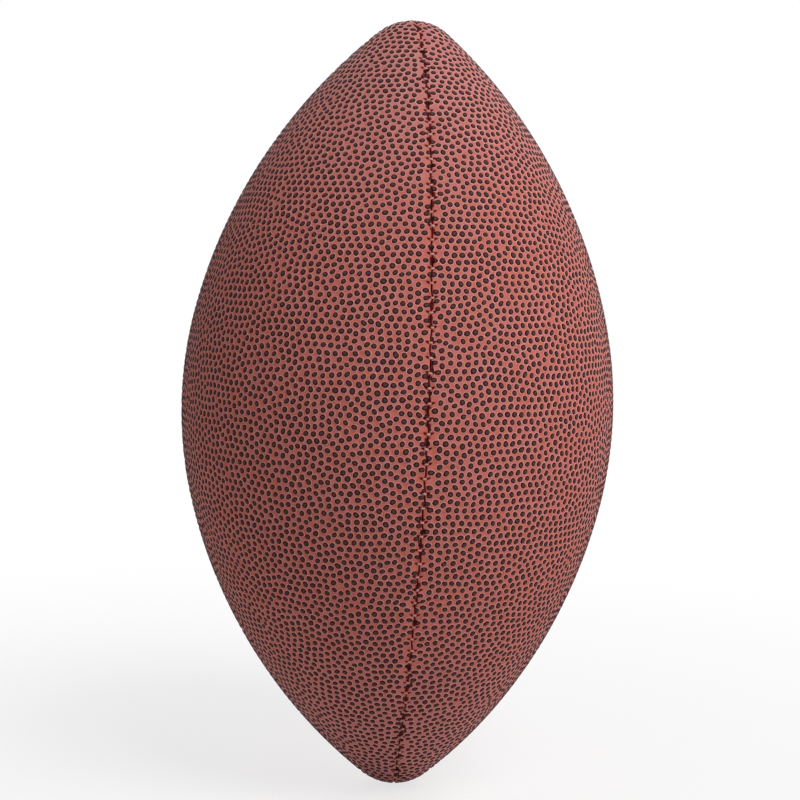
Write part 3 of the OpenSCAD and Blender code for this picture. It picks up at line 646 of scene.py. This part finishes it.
def woven_lace():
    """The lace as a padded flat band, swept along the route: its section is a superellipse with low ribs on both
    faces. Between the route's points, places and widths follow a cubic through each pair of neighbours, whose slopes
    come from the points on either side."""
    route = lace_route()
    place = on_skin(route[:, 0], route[:, 1], route[:, 2])
    keep = np.append(True, np.linalg.norm(np.diff(place, axis=0), axis=1) > 1e-3)
    route, place = route[keep], place[keep]
    wide = in_skin(route[:, 0], route[:, 1], route[:, 3], route[:, 4])
    t = np.append(0, np.cumsum(np.linalg.norm(np.diff(place, axis=0), axis=1)))
    data = np.column_stack([place, wide, route[:, 5:7]])
    slope = np.gradient(data, t, axis=0)
    n = int(t[-1] / LACE_STEP)
    s = np.linspace(0, t[-1], n)
    i = np.clip(np.searchsorted(t, s, side="right") - 1, 0, len(t) - 2)
    h = (t[i + 1] - t[i])[:, None]
    v = ((s - t[i])[:, None]) / h
    fine = ((2 * v ** 3 - 3 * v ** 2 + 1) * data[i] + (v ** 3 - 2 * v ** 2 + v) * h * slope[i]
            + (3 * v ** 2 - 2 * v ** 3) * data[i + 1] + (v ** 3 - v ** 2) * h * slope[i + 1])
    centre, wide, width, thick = fine[:, :3], fine[:, 3:6], fine[:, 6], fine[:, 7]
    along = np.gradient(centre, axis=0)
    along /= np.linalg.norm(along, axis=1)[:, None]
    wide = wide - along * (wide * along).sum(axis=1)[:, None]
    wide /= np.linalg.norm(wide, axis=1)[:, None]
    up = np.cross(along, wide)
    a = np.arange(LACE_COLS) * 2 * math.pi / LACE_COLS
    ca, sa = np.cos(a), np.sin(a)
    cx = 0.5 * np.sign(ca) * np.abs(ca) ** WIDE_POWER
    cy = 0.5 * np.sign(sa) * np.abs(sa) ** THICK_POWER * (1 - RIB_SHARE + RIB_SHARE * np.cos(cx * 2 * math.pi * RIBS))
    verts = (centre[:, None] + wide[:, None] * cx[None, :, None] * width[:, None, None] * LACE_W_SHARE
             + up[:, None] * cy[None, :, None] * thick[:, None, None] * LACE_T_SHARE)
    faces = grid_faces(n, LACE_COLS, True).tolist()
    faces += [list(range(LACE_COLS))[::-1], list(range((n - 1) * LACE_COLS, n * LACE_COLS))]
    new_piece("lace_woven", verts.reshape(-1, 3), faces, lace_material(),
              {"run": np.repeat(s, LACE_COLS), "across": (cx[None, :] * width[:, None]).ravel()}, "lace")


# ---- shader groups

def group(name, inputs, outputs):
    """An empty shader group from the names and kinds of its sockets."""
    g = bpy.data.node_groups.new(name, "ShaderNodeTree")
    for way, sockets in (("INPUT", inputs), ("OUTPUT", outputs)):
        for key, kind in sockets.items():
            g.interface.new_socket(name=key, in_out=way, socket_type="NodeSocket" + kind)
    return g, g.nodes.new("NodeGroupInput"), g.nodes.new("NodeGroupOutput")


def put(value, socket):
    """Sets a socket to a number or colour, or links another socket to it."""
    if isinstance(value, (int, float, tuple)):
        socket.default_value = value
    else:
        socket.id_data.links.new(value, socket)


def node_beside(kind, *values):
    """A new node in the tree of the first socket among some values."""
    return next(v for v in values if not isinstance(v, (int, float, tuple))).id_data.nodes.new(kind)


def fill(node, **values):
    """A node with its inputs set or linked by their names."""
    for key, value in values.items():
        put(value, node.inputs[key])
    return node


def math_node(kind, a, b=0.0):
    """A Math node of one kind whose inputs are numbers or sockets."""
    node = node_beside("ShaderNodeMath", a, b)
    node.operation = kind
    put(a, node.inputs[0])
    put(b, node.inputs[1])
    return node.outputs[0]


plus, minus, times, greater = (partial(math_node, kind) for kind in ("ADD", "SUBTRACT", "MULTIPLY", "MAXIMUM"))


def step(value, low, high):
    """A smooth step from 0 at low to 1 at high."""
    node = fill(node_beside("ShaderNodeMapRange", value), **{"Value": value, "From Min": low, "From Max": high})
    node.interpolation_type = "SMOOTHSTEP"
    return node.outputs["Result"]


def mix(factor, a, b):
    """A colour mix whose factor and colours are values or sockets."""
    node = node_beside("ShaderNodeMix", factor, a, b)
    node.data_type = "RGBA"
    for key, value in (("Factor_Float", factor), ("A_Color", a), ("B_Color", b)):
        put(value, next(socket for socket in node.inputs if socket.identifier == key))
    return next(socket for socket in node.outputs if socket.identifier == "Result_Color")


def noise(vector, scale, detail=2.0, rough=0.5):
    """A noise value at a scale on a vector."""
    node = node_beside("ShaderNodeTexNoise", vector)
    return fill(node, Vector=vector, Scale=scale, Detail=detail, Roughness=rough).outputs["Fac"]


def attribute(m, name):
    """A float kept on the mesh's points, for a material."""
    node = m.node_tree.nodes.new("ShaderNodeAttribute")
    node.attribute_name = name
    return node.outputs["Fac"]


def srgb(*screen):
    """A linear colour from screen numbers of 0 to 255, by the sRGB standard's curve."""
    shares = (v / 255 for v in screen)
    return tuple(v / 12.92 if v <= 0.04045 else ((v + 0.055) / 1.055) ** 2.4 for v in shares) + (1.0,)


def make_mottle():
    """Mottle: one colour that turns into another in soft patches. Value is the mean of the noise at two sizes, made
    steeper by a smooth step, and the colours mix by amount times value."""
    g, i, o = group("mottle", {"Vector": "Vector", "Colour": "Color", "Other": "Color", "Large": "Float",
                               "Small": "Float", "Amount": "Float"}, {"Colour": "Color", "Value": "Float"})
    both = plus(*[noise(i.outputs["Vector"], i.outputs[key], 3.0) for key in ("Large", "Small")])
    value = step(times(both, 0.5), 0.36, 0.64)
    put(mix(times(value, i.outputs["Amount"]), i.outputs["Colour"], i.outputs["Other"]), o.inputs["Colour"])
    put(value, o.inputs["Value"])
    return g


def make_weave():
    """Weave: two crossed sets of threads. Height is the greater of two waves, one along X and one along Z."""
    g, i, o = group("weave", {"Vector": "Vector", "Scale": "Float"}, {"Height": "Float"})
    sets = []
    for way in ("X", "Z"):
        node = fill(g.nodes.new("ShaderNodeTexWave"), Vector=i.outputs["Vector"], Scale=i.outputs["Scale"],
                    Distortion=0.6)
        node.bands_direction = way
        sets.append(node.outputs["Fac"])
    put(greater(*sets), o.inputs["Height"])
    return g


MOTTLE, WEAVE = make_mottle(), make_weave()


def new_material(name):
    """A material with its Principled shader and its object coordinates."""
    m = bpy.data.materials.new(name)
    m.use_nodes = True
    shader = next(n for n in m.node_tree.nodes if n.type == "BSDF_PRINCIPLED")
    return m, shader, m.node_tree.nodes.new("ShaderNodeTexCoord").outputs["Object"]


def use(which, vector, **values):
    """Places a group in a material with its own values."""
    node = node_beside("ShaderNodeGroup", vector)
    node.node_tree = which
    return fill(node, Vector=vector, **values)


def dress(shader, colour, rough, height, strength, distance):
    """Sets a shader's colour, its roughness and the bump of a height on its normal."""
    bump = fill(node_beside("ShaderNodeBump", height), Strength=strength, Distance=distance, Height=height)
    fill(shader, **{"Base Color": colour, "Roughness": rough, "Normal": bump.outputs["Normal"]})


# Leather by the dome share: the pale ring's rise and fall, the print's edge and its rub, and the painted sheen that
# greys the print towards its top
RING_RISE, RING_FALL, PRINT_EDGE, RUB, PAINTED_DOME_SHEEN = (0.0, 0.04), (0.07, 0.13), (0.10, 0.155), 0.05, (0.25, 0.85)
# Heights, in m, between which a painted sheen makes the leather paler towards both tips
PAINTED_TIP_SHEEN = (0.055, 0.135)
# The painted shade in a stitch's dent: half its size along and across in mm, and its soft edge as shares of them
DENT_SHADE_LONG, DENT_SHADE_WIDE, DENT_SHADE_EDGE = 0.52, 1.05, (0.75, 1.1)
# Blobs of shade between the stitches: how far across, which noise and how far from a stitch. Depth of the walls'
# painted shade
SHADE_ACROSS, SHADE_SCALE, SHADE_NOISE, SHADE_ALONG = (0.8, 1.1), 420.0, (0.53, 0.58), (0.8, 1.1)
WALL_SHADE_DEPTH = (0.25, 0.8)


def leather_material():
    """Leather by each point's dome share, 1 at a pebble's centre and 0 at its foot: dark printed domes, greyer at their
    tops by painted sheen, with a pale ring round them on a brick base, paler towards both tips by painted sheen. It is
    dark red by painted shade in the dents where a stitch pulls it in, with blobs of shade between the stitches, and a
    deeper red by painted shade on the walls below the lips."""
    m, shader, coords = new_material("pebbled_leather")
    dome, tone, across, along, sewn, deep = (
        attribute(m, key) for key in ("dome", "tone", "across", "along", "sewn", "deep"))
    base = use(MOTTLE, coords, Colour=srgb(208, 109, 91), Other=srgb(214, 127, 121), Large=260.0, Small=1400.0,
               Amount=0.9)
    place = node_beside("ShaderNodeSeparateXYZ", coords)
    put(coords, place.inputs[0])
    # Paler towards both tips: painted sheen
    tips = step(math_node("ABSOLUTE", place.outputs["Z"]), *PAINTED_TIP_SHEEN)
    ground = mix(times(tips, 0.55), base.outputs["Colour"], srgb(212, 144, 142))
    ring = times(step(dome, *RING_RISE), minus(1.0, step(dome, *RING_FALL)))
    ground = mix(times(ring, 0.95), ground, srgb(247, 200, 195))
    # Greyer towards each dome's top: painted sheen on the dark print
    ink_and_sheen = mix(times(step(dome, *PAINTED_DOME_SHEEN), 0.85), srgb(72, 14, 11), srgb(95, 77, 79))
    ink_and_sheen = mix(times(tone, 0.30), ink_and_sheen, srgb(76, 38, 38))
    rubbed = plus(dome, times(minus(noise(coords, 2500.0), 0.5), RUB))
    colour = mix(step(rubbed, *PRINT_EDGE), ground, ink_and_sheen)

    slope = times(minus(across, SLOPE_FROM), DENT_SLOPE)
    offset = math_node("PINGPONG", minus(along, slope), STITCH_PITCH / 2)
    dx = math_node("DIVIDE", offset, DENT_SHADE_LONG)
    dy = math_node("DIVIDE", minus(across, DENT_Q), DENT_SHADE_WIDE)
    far = math_node("SQRT", plus(times(dx, dx), times(dy, dy)))
    # Dark red in each stitch's dent, where the stitch pulls the leather in: painted shade
    pull = times(minus(1.0, step(far, *DENT_SHADE_EDGE)), sewn)
    colour = mix(times(pull, 0.96), colour, srgb(84, 4, 3))
    shade = times(minus(1.0, step(across, *SHADE_ACROSS)), step(noise(coords, SHADE_SCALE, 0.0), *SHADE_NOISE))
    shade = times(times(shade, step(offset, *SHADE_ALONG)), sewn)
    colour = mix(times(shade, 0.9), colour, srgb(52, 18, 15))
    # A deeper red on the walls below the lips: painted shade in the seam's groove
    colour = mix(step(deep, *WALL_SHADE_DEPTH), colour, srgb(190, 56, 42))
    rough = minus(plus(times(base.outputs["Value"], 0.10), 0.58), times(step(dome, 0.1, 0.4), 0.08))
    shader.inputs["Specular IOR Level"].default_value = 0.03
    dress(shader, colour, rough, noise(coords, 3200.0, 3.0, 0.6), strength=0.35, distance=0.00012)
    return m


def thread_material():
    """Waxed thread: salmon, each stitch a little lighter or darker, with fine fuzz."""
    m, shader, coords = new_material("waxed_thread")
    colour = mix(attribute(m, "tone"), srgb(224, 150, 138), srgb(242, 192, 182))
    fuzz = noise(coords, 4200.0)
    colour = mix(times(fuzz, 0.45), colour, srgb(150, 66, 58))
    dress(shader, colour, 0.45, fuzz, strength=0.5, distance=0.0001)
    return m


# The lace's diagonal strands: their slant, and their rate in radians a mm
STRAND_SLANT, STRAND_RATE = 1.3, 5.6


def lace_material():
    """Flat woven lace: off-white, with diagonal strands that cross, slightly soiled in patches, darker between the
    strands by painted shade. The strands' height is half the greater of sin(rate (run + slant across)) and sin(rate
    (run - slant across)), plus a half."""
    m, shader, coords = new_material("woven_lace")
    run, slanted = attribute(m, "run"), times(attribute(m, "across"), STRAND_SLANT)
    strands = [math_node("SINE", times(way(run, slanted), STRAND_RATE)) for way in (plus, minus)]
    height = plus(times(greater(*strands), 0.5), 0.5)
    soil = use(MOTTLE, coords, Colour=srgb(236, 233, 226), Other=srgb(206, 199, 186), Large=60.0, Small=900.0,
               Amount=0.5)
    # Darker between the strands, where the height is low: painted shade
    colour = mix(times(minus(1.0, height), 0.42), soil.outputs["Colour"], srgb(150, 142, 130))
    shader.inputs["Sheen Weight"].default_value = 0.15
    dress(shader, colour, 0.78, height, strength=0.7, distance=0.0002)
    return m


def cloth_material(name, low, high, scale):
    """Woven cloth in a colour that wanders between two, with threads that are also its bump, and painted shade between
    them.
    """
    m, shader, coords = new_material(name)
    weave = use(WEAVE, coords, Scale=scale).outputs["Height"]
    patch = use(MOTTLE, coords, Colour=low, Other=high, Large=50.0, Small=1200.0, Amount=0.8)
    # Darker between the threads, where the weave is low: painted shade
    colour = mix(times(minus(1.0, weave), 0.4), patch.outputs["Colour"], tuple(v * 0.55 for v in low[:3]) + (1.0,))
    dress(shader, colour, 0.85, weave, strength=0.6, distance=0.00015)
    return m


def moulded_material(name, low, high, rough, grain, height):
    """Moulded rubber or film: a colour that wanders between two, with a fine grain in its roughness and bump."""
    m, shader, coords = new_material(name)
    patch = use(MOTTLE, coords, Colour=low, Other=high, Large=80.0, Small=grain, Amount=0.6)
    dress(shader, patch.outputs["Colour"], plus(times(patch.outputs["Value"], 0.12), rough),
          noise(coords, grain, 3.0), strength=0.3, distance=height)
    return m


leather = leather_material()
thread = thread_material()
lining = cloth_material("lining_cloth", srgb(196, 186, 164), srgb(214, 206, 188), 700.0)
facing = cloth_material("facing_cloth", srgb(176, 156, 118), srgb(194, 176, 140), 500.0)
felt = cloth_material("tongue_felt", srgb(96, 90, 84), srgb(116, 110, 102), 1400.0)
film = moulded_material("bladder_film", srgb(52, 50, 54), srgb(66, 63, 66), 0.30, 900.0, 0.00005)
valve_rubber = moulded_material("valve_rubber", srgb(86, 58, 46), srgb(100, 70, 56), 0.55, 2200.0, 0.00008)
plug_rubber = moulded_material("plug_rubber", srgb(38, 37, 39), srgb(50, 48, 50), 0.5, 2600.0, 0.00006)

# ---- the pieces
# What moves each panel from the first quarter to its own, and whether it is laced and has the valve
FIRST_SEED = 11
QUARTERS = {"panel_front_left": ([[-1, 0, 0], [0, -1, 0], [0, 0, 1]], False, False),
            "panel_front_right": ([[0, 1, 0], [-1, 0, 0], [0, 0, 1]], False, False),
            "panel_back_right": ([[1, 0, 0], [0, 1, 0], [0, 0, 1]], True, False),
            "panel_back_left": ([[-1, 0, 0], [0, 1, 0], [0, 0, 1]], True, True)}
for seed, (node, (turned, laced, valve)) in enumerate(QUARTERS.items(), FIRST_SEED):
    leather_panel(node, seed, laced, valve, turned)

stitches("front_seam_stitches", math.pi, FULL_SEAM, "seam_thread_front")
stitches("left_seam_stitches", math.pi / 2, FULL_SEAM, "seam_thread_left")
stitches("right_seam_stitches", -math.pi / 2, FULL_SEAM, "seam_thread_right")
stitches("back_upper_seam_stitches", 0.0, UPPER_SEAM, "seam_thread_back_upper")
stitches("back_lower_seam_stitches", 0.0, -UPPER_SEAM, "seam_thread_back_lower")
woven_lace()

for node, material in (("lining_front_left", lining), ("lining_front_right", lining), ("lining_back_left", lining),
                       ("lining_back_right", lining), ("lace_facing_left", facing), ("lace_facing_right", facing),
                       ("lace_tongue", felt), ("bladder", film), ("valve_flange_patch", film),
                       ("valve_body", valve_rubber), ("valve_plug", plug_rubber)):
    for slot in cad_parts[node].material_slots:
        slot.material = material

# ---- floor, light and camera

def mix_shaders(share, first, second):
    """A shader mixed from two by a share."""
    node = node_beside("ShaderNodeMixShader", share)
    for value, socket in zip((share, first.outputs[0], second.outputs[0]), node.inputs):
        put(value, socket)
    return node


def white_to_sight(tree):
    """1 for the rays of sight, straight, by a mirror or through glass, which meet the background as white."""
    path = tree.nodes.new("ShaderNodeLightPath")
    through = greater(path.outputs["Is Glossy Ray"], path.outputs["Is Transmission Ray"])
    return greater(path.outputs["Is Camera Ray"], through)


WHITE = (1, 1, 1, 1)
FLOOR_GAP, FLOOR_HALF, FLOOR_GREY = 0.0002, 4, (0.72, 0.72, 0.72, 1)
# The share of its shade that the floor shows near the ball, and the distances, in m, over which it fades out
SHADE_SHARE, SHADE_FADE = 0.28, (0.16, 0.5)


def plain_floor():
    """A pale floor just below the lower tip. Sight meets it as white with a share of a white surface's lit shade,
    which keeps the ball's shadow. The share fades to none further away, where the floor meets the white backdrop."""
    z = cad_box[0][2] - FLOOR_GAP
    mesh = bpy.data.meshes.new("floor")
    mesh.from_pydata([(x * FLOOR_HALF, y * FLOOR_HALF, z) for x, y in ((-1, -1), (1, -1), (1, 1), (-1, 1))], [],
                     [(0, 1, 2, 3)])
    m, shader, coords = new_material("pale_floor")
    fill(shader, **{"Base Color": FLOOR_GREY, "Roughness": 0.9})
    tree = m.node_tree
    away = tree.nodes.new("ShaderNodeVectorMath")
    away.operation = "LENGTH"
    put(coords, away.inputs[0])
    near = minus(1.0, step(away.outputs["Value"], *SHADE_FADE))
    lit, white = (fill(tree.nodes.new("ShaderNode" + kind), Color=WHITE) for kind in ("BsdfDiffuse", "Emission"))
    seen = mix_shaders(minus(1.0, times(near, SHADE_SHARE)), lit, white)
    both = mix_shaders(white_to_sight(tree), shader, seen)
    put(both.outputs[0], next(n for n in tree.nodes if n.type == "OUTPUT_MATERIAL").inputs["Surface"])
    mesh.materials.append(m)
    add_object("floor", mesh)


def backdrop(strength):
    """A world that lights softly, and that sight meets as plain white."""
    world = bpy.data.worlds.new("soft_world")
    bpy.context.scene.world = world
    world.use_nodes = True
    tree = world.node_tree
    tree.nodes.clear()
    light, white = (
        fill(tree.nodes.new("ShaderNodeBackground"), Color=WHITE, Strength=power) for power in (strength, 1.0))
    both = mix_shaders(white_to_sight(tree), light, white)
    put(both.outputs[0], tree.nodes.new("ShaderNodeOutputWorld").inputs["Surface"])


def area_light(name, place, size, power):
    """A square light at a place, aimed at the ball's middle."""
    data = bpy.data.lights.new(name, "AREA")
    data.shape, data.size, data.energy = "SQUARE", size, power
    obj = add_object(name, data)
    obj.location = place
    obj.rotation_euler = (-Vector(place)).to_track_quat("-Z", "Y").to_euler()


plain_floor()
backdrop(0.20)
area_light("key", (0.58, -0.95, 1.42), 0.9, 18.2)
area_light("fill", (-1.2, -1.2, 0.9), 1.2, 0.6)
area_light("side", (1.35, -0.5, 0.2), 0.6, 2.4)
area_light("back", (0.25, 1.5, 0.3), 1.1, 15.0)

# The view: from 0.7 m, 6 degrees above the ball's middle, with the front seam turned to the right. The focal length and
# the shifts are in pixels of a picture 800 wide.
CAMERA_TURN, CAMERA_RISE, CAMERA_ROLL = np.radians([-7.49, 6.07, 1.50])
CAMERA_AWAY, PICTURE, FOCAL, SHIFT_X, SHIFT_Y, SENSOR = 0.700, 800, 1914, 1.6, 8.5, 36
camera_data = bpy.data.cameras.new("camera")
camera_data.lens, camera_data.sensor_width = FOCAL / PICTURE * SENSOR, SENSOR
camera_data.shift_x, camera_data.shift_y = SHIFT_X / PICTURE, SHIFT_Y / PICTURE
camera = add_object("camera", camera_data)
camera.location = (math.sin(CAMERA_TURN) * math.cos(CAMERA_RISE) * CAMERA_AWAY,
                   -math.cos(CAMERA_TURN) * math.cos(CAMERA_RISE) * CAMERA_AWAY, math.sin(CAMERA_RISE) * CAMERA_AWAY)
aim = (-camera.location).to_track_quat("-Z", "Y").to_matrix()
camera.rotation_euler = (aim @ Matrix.Rotation(CAMERA_ROLL, 3, "Z")).to_euler()
bpy.context.scene.camera = camera
bpy.context.scene.view_settings.view_transform = "Standard"
